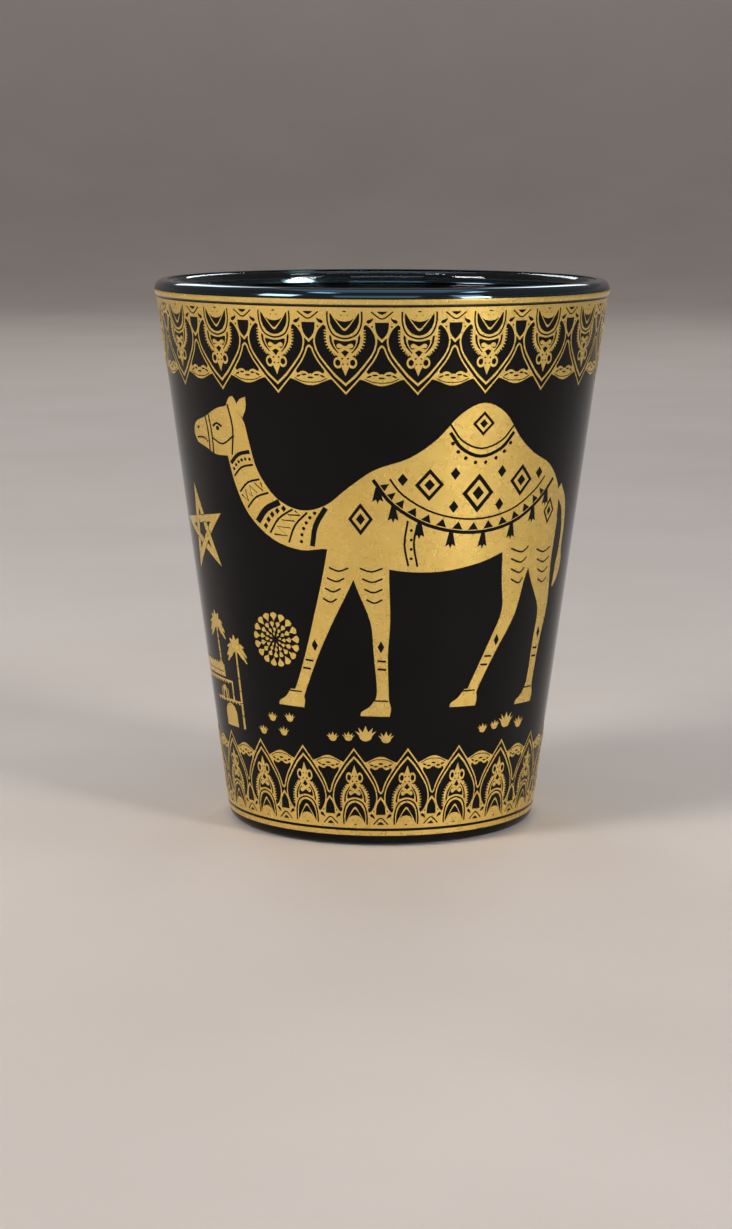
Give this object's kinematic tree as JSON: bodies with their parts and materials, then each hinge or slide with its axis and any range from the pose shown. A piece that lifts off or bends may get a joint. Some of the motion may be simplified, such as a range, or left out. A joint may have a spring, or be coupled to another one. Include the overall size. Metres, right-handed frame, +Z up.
{
  "type": "tea glass",
  "caption": "Tapered handleless tea glass with a thick base, a black lacquered outside and gold printed lace borders, camels and small figures.",
  "frame": {"origin": "middle of the foot's plane, on the glass's axis", "axes": "+Z up along the glass's axis, from the foot to the lip; the front camel's middle is near -Y and it walks towards -X"},
  "size_m": [0.0668, 0.0668, 0.08],
  "materials": {
    "clear_glass": "polished",
    "black_lacquer": "high gloss",
    "gold_print": "satin metallic"
  },
  "bodies": {
    "root": {"glass_tumbler": "clear_glass", "black_skin": "black_lacquer", "lip_line": "gold_print", "upper_border": "gold_print", "camels": "gold_print", "stars": "gold_print", "rosettes": "gold_print", "palm_groves": "gold_print", "grass_tufts": "gold_print", "lower_border": "gold_print", "foot_line": "gold_print"}
  },
  "joints": []
}
